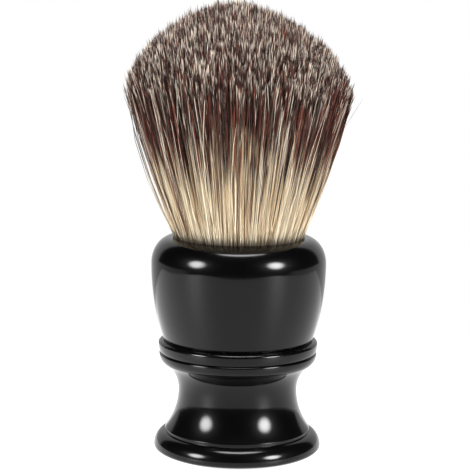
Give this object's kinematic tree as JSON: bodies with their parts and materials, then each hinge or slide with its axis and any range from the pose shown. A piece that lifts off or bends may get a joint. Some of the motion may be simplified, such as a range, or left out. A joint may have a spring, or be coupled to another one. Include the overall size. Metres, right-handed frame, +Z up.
{
  "type": "shaving brush",
  "caption": "Free-standing shaving brush with a fan-shaped, domed knot of soft hair set in a turned gloss black handle with a beaded collar, a waist and a wide round foot.",
  "frame": {"origin": "centre of the foot, on the surface that the brush stands on", "axes": "+Z up along the axis of the handle and knot; +X to the right as seen from the front, which is -Y"},
  "size_m": [0.0476, 0.0476, 0.0952],
  "materials": {
    "handle_gloss": "polished black moulded resin",
    "base_plastic": "fine-textured black plastic",
    "weight_iron": "turned from cast bar",
    "fastener_steel": "zinc-plated steel",
    "insert_brass": "knurled brass",
    "resin": "set clear amber resin",
    "cup_plastic": "moulded ivory plastic",
    "twine": "waxed cotton twine",
    "hair": "badger-type hair: cream roots, dark band, grizzled grey-brown tips"
  },
  "bodies": {
    "handle": {"handle_bowl": "handle_gloss", "collar_ring": "handle_gloss", "handle_pedestal": "handle_gloss", "base_cap": "base_plastic", "base_weight": "weight_iron", "tie_screw": "fastener_steel", "screw_washer": "fastener_steel", "threaded_insert": "insert_brass", "socket_adhesive": "resin", "knot_cup": "cup_plastic", "knot_plug": "resin", "binding_twine": "twine", "hair_roots": "hair"},
    "tuft": {"hair_lock_centre": "hair", "hair_lock_inner_1": "hair", "hair_lock_inner_2": "hair", "hair_lock_inner_3": "hair", "hair_lock_inner_4": "hair", "hair_lock_inner_5": "hair", "hair_lock_inner_6": "hair", "hair_lock_outer_1": "hair", "hair_lock_outer_2": "hair", "hair_lock_outer_3": "hair", "hair_lock_outer_4": "hair", "hair_lock_outer_5": "hair", "hair_lock_outer_6": "hair", "hair_lock_outer_7": "hair", "hair_lock_outer_8": "hair", "hair_lock_outer_9": "hair", "hair_lock_outer_10": "hair", "hair_lock_outer_11": "hair", "hair_lock_outer_12": "hair"}
  },
  "joints": [
    {"name": "tuft_bend", "type": "hinge", "parent": "handle", "child": "tuft", "pos_m": [0, 0, 0.0461], "axis": [0, 1, 0], "range_deg": [-25, 25], "stiffness_Nm_per_rad": 0.25}
  ]
}
